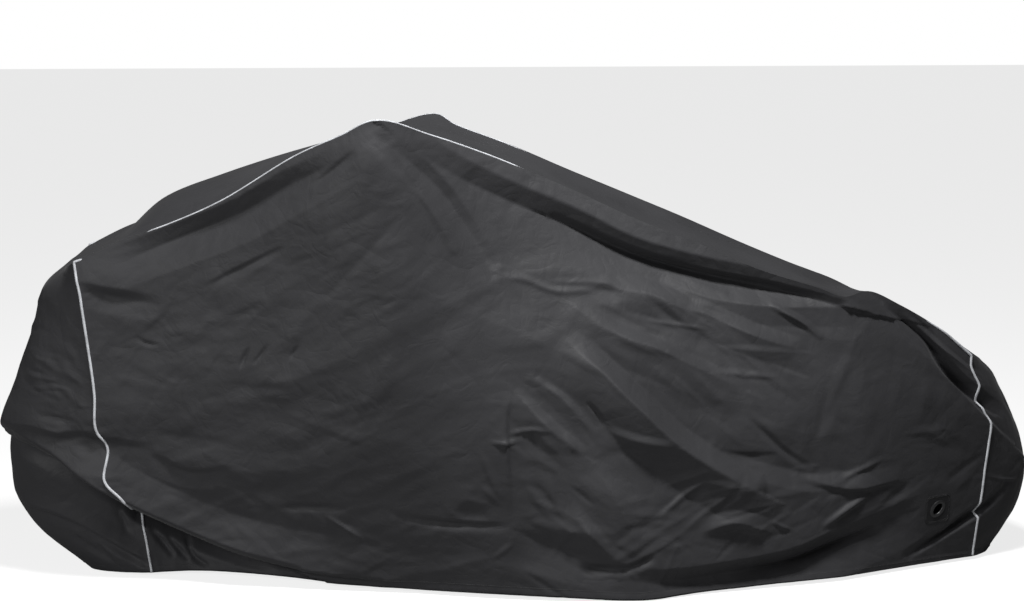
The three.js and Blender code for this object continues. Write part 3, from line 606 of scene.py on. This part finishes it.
def node(tree, kind, sockets=(), **settings):
    """Adds a shader node. A socket's value is a constant, or the output that feeds it."""
    made = tree.nodes.new("ShaderNode" + kind)
    for name, value in settings.items():
        setattr(made, name, value)
    for socket, value in sockets:
        if isinstance(value, bpy.types.NodeSocket):
            tree.links.new(value, made.inputs[socket])
        else:
            made.inputs[socket].default_value = value
    return made


def maths(tree, operation, *values):
    """The result of a sum, each of its values a constant or an output."""
    return node(tree, "Math", enumerate(values), operation=operation).outputs[0]


def two_tones(tree, share, *stops):
    """A colour between two, each given with the share at which it is reached."""
    ramp = node(tree, "ValToRGB", [("Fac", share)])
    for element, (position, color) in zip(ramp.color_ramp.elements, stops):
        element.position, element.color = position, color
    return ramp.outputs["Color"]


def new_material(name):
    """A material, its tree of nodes and its shader."""
    material = bpy.data.materials.new(name)
    material.use_nodes = True
    return material, material.node_tree, material.node_tree.nodes["Principled BSDF"]


def node_group(name, inputs, outputs):
    """An empty shader group with the given sockets, and its inner input and output nodes."""
    group = bpy.data.node_groups.new(name, "ShaderNodeTree")
    for socket, kind, value in inputs:
        made = group.interface.new_socket(socket, in_out="INPUT", socket_type=kind)
        if value is not None:
            made.default_value = value
    for socket, kind in outputs:
        group.interface.new_socket(socket, in_out="OUTPUT", socket_type=kind)
    return group, group.nodes.new("NodeGroupInput"), group.nodes.new("NodeGroupOutput")


# Crinkles: fine sharp lines where the cloth has been packed away, in three sizes.
crinkles, given, put_out = node_group(
    "packed_crinkles",
    [("Place", "NodeSocketVector", None), ("Lines per metre", "NodeSocketFloat", 9.0)],
    [("Height", "NodeSocketFloat"), ("Patches", "NodeSocketFloat")],
)
ridges = []
for times_finer, share in ((1.0, 1.0), (2.9, 0.34), (7.5, 0.10)):
    scale = maths(crinkles, "MULTIPLY", given.outputs["Lines per metre"], times_finer)
    noise = node(crinkles, "TexNoise", [("Vector", given.outputs["Place"]), ("Scale", scale),
                                        ("Detail", 2.0), ("Roughness", 0.45),
                                        ("Distortion", 0.9)])
    ridge = maths(crinkles, "ABSOLUTE", maths(crinkles, "SUBTRACT", noise.outputs["Fac"], 0.5))
    ridges.append(maths(crinkles, "MULTIPLY", ridge, share))
total = maths(crinkles, "ADD", maths(crinkles, "ADD", ridges[0], ridges[1]), ridges[2])
crinkles.links.new(total, put_out.inputs["Height"])
patches = node(crinkles, "TexNoise", [("Vector", given.outputs["Place"]), ("Scale", 3.5),
                                      ("Detail", 5.0)])
crinkles.links.new(patches.outputs["Fac"], put_out.inputs["Patches"])

# Plain weave: threads that cross over and under each other.
weave, given, put_out = node_group(
    "plain_weave",
    [("Cloth", "NodeSocketVector", None), ("Threads per metre", "NodeSocketFloat", 2000.0)],
    [("Height", "NodeSocketFloat")],
)
split = node(weave, "SeparateXYZ", [(0, given.outputs["Cloth"])])
turns = maths(weave, "MULTIPLY", given.outputs["Threads per metre"], math.pi)
waves = [maths(weave, "SINE", maths(weave, "MULTIPLY", split.outputs[axis], turns))
         for axis in ("X", "Y")]
weave.links.new(maths(weave, "MULTIPLY", *waves), put_out.inputs["Height"])
THREAD_DEPTH = 0.00001


def cloth_material(name, dark, light, inner, rough, crinkle_depth, lines, threads):
    """Woven cloth, coated on its outer face: its tone varies in patches, and it is crinkled."""
    material, tree, shader = new_material(name)
    place = node(tree, "TexCoord").outputs["Object"]
    flat = node(tree, "UVMap", uv_map="cloth").outputs["UV"]
    crinkled = node(tree, "Group", [("Place", place), ("Lines per metre", lines)],
                    node_tree=crinkles)
    woven = node(tree, "Group", [("Cloth", flat), ("Threads per metre", threads)],
                 node_tree=weave)
    patches = crinkled.outputs["Patches"]
    tone = two_tones(tree, patches, (0.36, dark), (0.64, light))
    turned = node(tree, "NewGeometry").outputs["Backfacing"]
    faced = node(tree, "Mix", [("Factor", turned), ("A", tone), ("B", inner)],
                 data_type="RGBA")
    tree.links.new(faced.outputs["Result"], shader.inputs["Base Color"])
    dulled = node(tree, "MapRange", [("Value", patches), ("From Min", 0.35), ("From Max", 0.65),
                                     ("To Min", rough - 0.05), ("To Max", rough + 0.05)])
    tree.links.new(dulled.outputs["Result"], shader.inputs["Roughness"])
    creased = node(tree, "Bump", [("Height", crinkled.outputs["Height"]), ("Strength", 1.0),
                                  ("Distance", crinkle_depth)])
    threaded = node(tree, "Bump", [("Height", woven.outputs["Height"]), ("Strength", 0.5),
                                   ("Distance", THREAD_DEPTH),
                                   ("Normal", creased.outputs["Normal"])])
    tree.links.new(threaded.outputs["Normal"], shader.inputs["Normal"])
    return material, shader


cloth, shader = cloth_material(
    "coated_taffeta", dark=(0.0235, 0.0235, 0.0252, 1), light=(0.0285, 0.0285, 0.0305, 1),
    inner=(0.045, 0.045, 0.047, 1), rough=0.58, crinkle_depth=0.0052, lines=7.0, threads=2000.0)
shader.inputs["Specular IOR Level"].default_value = 0.15
shader.inputs["Sheen Weight"].default_value = 0.04
shader.inputs["Sheen Roughness"].default_value = 0.4

for side, points, turned in (("near", near_panel, False), ("far", far_panel, True)):
    middle, normal = EYELETS[side]
    _, _, long_axis, short_axis = eyelet_axes(normal)
    whole = with_turned_hem(points)
    hole = (middle, (long_axis, short_axis), (HOLE_LONG + HOLE_ROOM, HOLE_SHORT + HOLE_ROOM))
    panel = sheet_object(f"cloth_panel_{side}", whole, turned, cut_out(whole, [hole]))
    panel.data.materials.append(cloth)
    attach(panel, "root")
    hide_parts(f"side_panel_{side}")


# ---- Top band ----
# One long strip of the same cloth between the two seams, from the left hem over the
# handlebar to the right hem. It sags between the handlebar's two tips.

BAND_STEPS_ACROSS = 96
BAND_FULLNESS = 2.2
BAND_LEAN = 0.5
# The columns are those of the panels' creases, along the band and across it.
BAND_CREASES = [
    ((0.58, 0.12), (0.08, 0.05), 22, 60, 0.08, 0.012, 0.0024),
    ((0.40, 0.10), (0.05, 0.05), 10, 80, 0.10, 0.012, 0.0024),
    ((0.20, 0.10), (0.08, 0.06), 14, 20, 0.10, 0.012, 0.0024),
    ((1.15, 0.20), (0.20, 0.10), 24, 10, 0.16, 0.018, 0.0026),
    ((1.60, 0.25), (0.15, 0.12), 22, 5, 0.16, 0.018, 0.0026),
    ((2.30, 0.18), (0.35, 0.08), 34, 4, 0.18, 0.016, 0.0024),
    ((3.00, 0.17), (0.20, 0.08), 26, 12, 0.12, 0.014, 0.0024),
    ((3.45, 0.12), (0.12, 0.05), 18, 25, 0.08, 0.012, 0.0022),
]

near_seam, band_middle, far_seam = (
    np.vstack([left, top[1:], right[1:]])
    for left, top, right in zip(left_seams, top_seams, right_seams)
)
share = -np.cos(np.linspace(0, np.pi, BAND_STEPS_ACROSS + 1))[None, :, None]
lift = (band_middle - (near_seam + far_seam) / 2)[:, None]
band_smooth = near_seam[:, None] * (1 - share) / 2 + far_seam[:, None] * (1 + share) / 2
band_smooth = band_smooth + lift * (1 - np.abs(share) ** BAND_FULLNESS)
# The named folds go on over the band's edges, and its far half mirrors its near half.
steps = np.arange(BAND_STEPS_ACROSS + 1)
partner = np.minimum(steps, BAND_STEPS_ACROSS - steps)
along, across = walked(band_smooth, 0), walked(band_smooth, 1)
to_near, to_far = across, across[:, -1:] - across
to_ends = np.minimum(along, along[-1] - along)
fine = crushed(along, across, BAND_LEAN, 41) + crease_heights(along, across, BAND_CREASES, 41)
fine = fine * smoothly(np.minimum(to_near, to_far), 0, SEAM_CALM)
gathers = puckers(along, to_near, 43) + puckers(along, to_far, 44)
band_heights = fold_heights(band_smooth[:, partner, 0], band_smooth[:, partner, 2])
band = folded(band_smooth, band_heights + fine + gathers + hem_heights(across, to_ends, 45))
turned_ends = [end - outward(end) * 2 * CLOTH_DOUBLED
               for end in (band[HEM_ROWS:0:-1], band[-2:-HEM_ROWS - 2:-1])]
whole = np.concatenate([turned_ends[0], band, turned_ends[1]])
band_piece = sheet_object("cloth_top_band", whole, False)
band_piece.data.materials.append(cloth)
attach(band_piece, "root")
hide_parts("top_band")


# ---- Piping ----
# A cord bound in light grey reflective tape, sewn into both seams from hem to hem. It stands
# full and round down the ends, and the cloth half hides it along the top.

# Its radius down the ends and along the top, and how far past a corner it has thinned.
PIPING_ENDS, PIPING_TOP, PIPING_THINS_BY = 0.0032, 0.0019, 0.16
# How deep it sinks between the two cloths along the top, by its way from the left corner.
PIPING_SINKS = [(0, 0), (0.03, 0.0058), (0.15, 0.0058), (0.20, 0.0018), (0.80, 0.0016),
                (1.15, 0.0014), (1.30, 0.0058), (2.18, 0.0058), (2.30, 0)]
PIPING_SIDES = 10
PIPING_STEP = 0.005


def unit(vectors):
    return vectors / np.linalg.norm(vectors, axis=-1, keepdims=True)


def places_at(at, lengths, line):
    """The places on a line, at ways along it, when its own points lie at the given lengths."""
    return np.stack([np.interp(at, lengths, column) for column in line.T], -1)


def tube_object(name, path, outwards, radii, sides):
    """A round tube along a path, closed at both ends, with a radius of its own at each place."""
    tangent = unit(np.gradient(path, axis=0))
    out = unit(outwards - (outwards * tangent).sum(1, keepdims=True) * tangent)
    side = np.cross(tangent, out)
    angles = np.linspace(0, 2 * np.pi, sides, endpoint=False)
    turn = out[:, None] * np.cos(angles)[:, None] + side[:, None] * np.sin(angles)[:, None]
    points = path[:, None] + radii[:, None, None] * turn
    quads = []
    for ring in range(len(path) - 1):
        for corner in range(sides):
            a, b = ring * sides + corner, ring * sides + (corner + 1) % sides
            quads.append((a, b, b + sides, a + sides))
    last = (len(path) - 1) * sides
    ends = [tuple(range(sides))[::-1], tuple(range(last, last + sides))]
    return mesh_object(name, points, quads + ends)


reflective, tree, shader = new_material("reflective_tape")
place = node(tree, "TexCoord").outputs["Object"]
beads = node(tree, "TexVoronoi", [("Vector", place), ("Scale", 2600.0)])
scuffs = node(tree, "TexNoise", [("Vector", place), ("Scale", 45.0), ("Detail", 6.0)])
grey = two_tones(tree, scuffs.outputs["Fac"], (0.35, (0.30, 0.305, 0.32, 1)),
                 (0.55, (0.42, 0.43, 0.45, 1)))
tree.links.new(grey, shader.inputs["Base Color"])
beaded = node(tree, "Bump", [("Height", beads.outputs["Distance"]), ("Strength", 0.25),
                             ("Distance", 0.0002)])
tree.links.new(beaded.outputs["Normal"], shader.inputs["Normal"])
shader.inputs["Roughness"].default_value = 0.42

for side, seam, facing in (("near", band[:, 0], -1), ("far", band[:, -1], 1)):
    lengths = walked(seam)
    walked_by = np.arange(0, lengths[-1], PIPING_STEP)
    path = places_at(walked_by, lengths, seam)
    left_corner, right_corner = lengths[PANEL_ROWS], lengths[PANEL_ROWS + PANEL_COLUMNS]
    in_top = np.minimum(walked_by - left_corner, right_corner - walked_by)
    thinning = smoothly(in_top, 0, PIPING_THINS_BY)
    radii = PIPING_ENDS + (PIPING_TOP - PIPING_ENDS) * thinning
    out = unit(outward(path) + (0, facing, 0.6))
    standing = unit(0.3 * outward(path) + (0, 0.5 * facing, 1))
    path = path - standing * np.interp(walked_by - left_corner, *zip(*PIPING_SINKS))[:, None]
    piping = tube_object(f"reflective_piping_{side}", path, out, radii, PIPING_SIDES)
    piping.data.materials.append(reflective)
    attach(piping, "root")
    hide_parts(f"piping_{side}")


# ---- Eyelets ----
# Low at the right end of each panel, a square patch of heavier coated cloth is sewn on with
# two rows of stitches, and a black moulded ring is pressed through both layers. A lock or a
# cord goes through its oval hole.

# The patch: its size, the power that squares its corners, how far its face stands up, and
# where its two rows of stitches run, as shares of the way to its edge.
PATCH_SIZE, PATCH_POWER = 0.072, 7
PATCH_RISE = 0.0011
PATCH_STITCHED = 0.86, 0.93
RING_STEPS = 96
PATCH_STEPS = 14

patch_cloth, shader = cloth_material(
    "heavy_coated_cloth", dark=(0.012, 0.012, 0.013, 1), light=(0.016, 0.016, 0.017, 1),
    inner=(0.02, 0.02, 0.02, 1), rough=0.55, crinkle_depth=0.0015, lines=30.0, threads=1400.0)
shader.inputs["Specular IOR Level"].default_value = 0.15

moulded, tree, shader = new_material("moulded_black")
place = node(tree, "TexCoord").outputs["Object"]
pebbles = node(tree, "TexNoise", [("Vector", place), ("Scale", 900.0), ("Detail", 3.0)])
rubbed = node(tree, "TexNoise", [("Vector", place), ("Scale", 120.0), ("Detail", 4.0)])
black = two_tones(tree, rubbed.outputs["Fac"], (0, (0.006, 0.006, 0.0065, 1)),
                  (1, (0.014, 0.014, 0.015, 1)))
tree.links.new(black, shader.inputs["Base Color"])
grained = node(tree, "Bump", [("Height", pebbles.outputs["Fac"]), ("Strength", 0.3),
                              ("Distance", 0.0002)])
tree.links.new(grained.outputs["Normal"], shader.inputs["Normal"])
shader.inputs["Roughness"].default_value = 0.38

# The ring's outline, out from the hole and up from the patch, once round both flanges.
RING_PROFILE = [(0.0000, -0.0016), (0.0002, 0.0006), (0.0010, 0.0017), (0.0026, 0.0021),
                (0.0050, 0.0020), (0.0074, 0.0013), (0.0086, 0.0005), (0.0088, 0.0001),
                (0.0020, 0.0001), (0.0018, -0.0024), (0.0088, -0.0024), (0.0086, -0.0030),
                (0.0060, -0.0036), (0.0014, -0.0036), (0.0002, -0.0032)]
STITCH_LONG, STITCH_APART, STITCH_THICK = 0.0032, 0.0042, 0.0005


def stitches_object(name, path, outs, thread):
    """A row of separate stitches along a path, each a short arch that dives in at its ends."""
    lengths = walked(path)
    starts = np.arange(STITCH_APART / 2, lengths[-1] - STITCH_APART, STITCH_APART)
    bend = np.linspace(0, 1, 5)
    at = starts[:, None] + STITCH_LONG * bend[None, :]
    middle = places_at(at, lengths, path)
    out = unit(places_at(at, lengths, outs))
    aside = np.cross(unit(np.gradient(middle, axis=1)), out)
    thick = STITCH_THICK * (0.35 + 0.65 * np.sin(np.pi * bend))[None, :, None]
    middle = middle + out * thick * np.sin(np.pi * bend)[None, :, None]
    corners = [middle + thick * out, middle + thick * aside, middle - thick * out,
               middle - thick * aside]
    points = np.stack(corners, 2)
    index = np.arange(points[..., 0].size).reshape(points.shape[:3])
    onward = np.roll(index, -1, axis=2)
    quads = np.stack([index[:, :-1], onward[:, :-1], onward[:, 1:], index[:, 1:]], -1)
    made = mesh_object(name, points, quads.reshape(-1, 4).tolist())
    made.data.materials.append(thread)
    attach(made, "root")
    return made


thread, tree, shader = new_material("polyester_thread")
twist = node(tree, "TexWave", [("Vector", node(tree, "TexCoord").outputs["Object"]),
                               ("Scale", 900.0), ("Distortion", 1.5)], bands_direction="DIAGONAL")
strand = two_tones(tree, twist.outputs["Fac"], (0, (0.018, 0.018, 0.019, 1)),
                   (1, (0.034, 0.034, 0.036, 1)))
tree.links.new(strand, shader.inputs["Base Color"])
twisted = node(tree, "Bump", [("Height", twist.outputs["Fac"]), ("Strength", 0.4),
                              ("Distance", 0.0001)])
tree.links.new(twisted.outputs["Normal"], shader.inputs["Normal"])
shader.inputs["Roughness"].default_value = 0.5

for side, (middle, normal) in EYELETS.items():
    level, up, long_axis, short_axis = eyelet_axes(normal)
    panel_face = middle - normal * PATCH_LIES
    angles = np.linspace(0, 2 * np.pi, RING_STEPS + 1)
    rim = (HOLE_LONG * np.cos(angles - np.pi / 4)[:, None] * long_axis
           + HOLE_SHORT * np.sin(angles - np.pi / 4)[:, None] * short_axis)
    flat_x, flat_y = np.cos(angles), np.sin(angles)
    squared = np.abs(flat_x) ** PATCH_POWER + np.abs(flat_y) ** PATCH_POWER
    reach = (PATCH_SIZE / 2) / squared ** (1 / PATCH_POWER)
    edge = (reach * flat_x)[:, None] * level + (reach * flat_y)[:, None] * up
    share = np.linspace(0, 1, PATCH_STEPS + 1)[None, :, None] ** 0.8
    rise = PATCH_RISE * (1 - np.linspace(0, 1, PATCH_STEPS + 1) ** 24)
    patch_points = (panel_face + rim[:, None] * (1 - share) + edge[:, None] * share
                    + rise[None, :, None] * normal)
    patch = sheet_object(f"eyelet_patch_cloth_{side}", patch_points, side == "near")
    patch.data.materials.append(patch_cloth)
    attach(patch, "root")
    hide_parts(f"eyelet_patch_{side}")

    # the moulded ring
    spread = np.array([out for out, _ in RING_PROFILE])[None, :, None]
    stands = np.array([up_by for _, up_by in RING_PROFILE])[None, :, None] + PATCH_RISE
    round_long, round_short = np.cos(angles)[:, None, None], np.sin(angles)[:, None, None]
    ring_points = (panel_face + (HOLE_LONG + spread) * round_long * long_axis
                   + (HOLE_SHORT + spread) * round_short * short_axis + stands * normal)
    ring_points = np.concatenate([ring_points, ring_points[:, :1]], axis=1)
    ring = sheet_object(f"eyelet_ring_moulded_{side}", ring_points, side == "near")
    ring.data.materials.append(moulded)
    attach(ring, "root")
    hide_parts(f"eyelet_ring_{side}")

    # two rows of stitches just inside the patch's edge
    for inset in PATCH_STITCHED:
        row = panel_face + inset * edge + PATCH_RISE * normal
        row_object = stitches_object(f"patch_stitches_{side}_{round(100 * inset)}", row,
                                     np.tile(normal, (len(row), 1)), thread)


# ---- Hem stitching ----
# One row of polyester thread holds the turned-up edge all round the bottom, and stops at the
# piping, where the seams were closed first.

HEM_ROW = 4

for side, row in (("near", near_panel[2:-2, HEM_ROW]), ("far", far_panel[2:-2, HEM_ROW]),
                  ("left", band[HEM_ROW, 3:-3]), ("right", band[-1 - HEM_ROW, 3:-3])):
    made = stitches_object(f"hem_stitches_{side}", row, outward(row), thread)


# ---- Studio ----
# Paper on a wide floor, in air that the camera sees as white. A small softbox hangs over the
# near side, a wide one stands far out at the left, and a weak one fills in from the right.

FLOOR_HALF, FLOOR_DROP, FLOOR_GLOW = 20, 0.001, 0.80
AIR_LIGHT = 0.035
WHITE = (1, 1, 1, 1)

floor_mesh = bpy.data.meshes.new("studio_floor")
floor_corners = [(FLOOR_HALF * x, FLOOR_HALF * y, -FLOOR_DROP)
                 for x, y in ((-1, -1), (1, -1), (1, 1), (-1, 1))]
floor_mesh.from_pydata(floor_corners, [], [(0, 1, 2, 3)])
floor = in_scene("studio_floor", floor_mesh)
paper, tree, shader = new_material("studio_paper")
shader.inputs["Base Color"].default_value = (0.25, 0.25, 0.25, 1)
shader.inputs["Roughness"].default_value = 0.9
shader.inputs["Specular IOR Level"].default_value = 0
shader.inputs["Emission Color"].default_value = WHITE
seen = node(tree, "LightPath").outputs["Is Camera Ray"]
tree.links.new(maths(tree, "MULTIPLY", seen, FLOOR_GLOW), shader.inputs["Emission Strength"])
floor_mesh.materials.append(paper)

CAMERA_AT = Vector((-0.3738, -4.9878, 1.500))
CAMERA_AIMS_AT = Vector((-0.025, 0, 0.640))
VIEW_WIDTH = 2.468
SENSOR = 36
camera_data = bpy.data.cameras.new("camera")
camera = in_scene("camera", camera_data)
sight = CAMERA_AIMS_AT - CAMERA_AT
camera.location = CAMERA_AT
camera.rotation_euler = sight.to_track_quat("-Z", "Y").to_euler()
camera_data.sensor_width = SENSOR
camera_data.lens = SENSOR * sight.length / VIEW_WIDTH
bpy.context.scene.camera = camera

world = bpy.data.worlds.new("studio_air")
world.use_nodes = True
tree = world.node_tree
air = tree.nodes["Background"]
air.inputs["Color"].default_value = WHITE
air.inputs["Strength"].default_value = AIR_LIGHT
white = node(tree, "Background", [("Color", WHITE)])
seen = node(tree, "LightPath").outputs["Is Camera Ray"]
mix = node(tree, "MixShader", [(0, seen), (1, air.outputs[0]), (2, white.outputs[0])])
tree.links.new(mix.outputs[0], tree.nodes["World Output"].inputs["Surface"])
bpy.context.scene.world = world

# Columns: name, place, what it aims at, size and watts.
SOFTBOXES = [
    ("softbox_key", (0.28, -1.22, 3.2), (0.0, 0.0, 0.5), 0.45, 165),
    ("softbox_left", (-2.6, -2.9, 1.6), (-0.6, 0.0, 0.5), 1.2, 77),
    ("softbox_right", (2.8, -2.4, 2.0), (0.4, 0.0, 0.5), 1.5, 2),
]
for name, place, aim, size, watts in SOFTBOXES:
    lamp = bpy.data.lights.new(name, "AREA")
    lamp.size, lamp.energy = size, watts
    light = in_scene(name, lamp)
    light.location = place
    light.rotation_euler = (Vector(aim) - Vector(place)).to_track_quat("-Z", "Y").to_euler()
bpy.context.scene.view_settings.view_transform = "Standard"
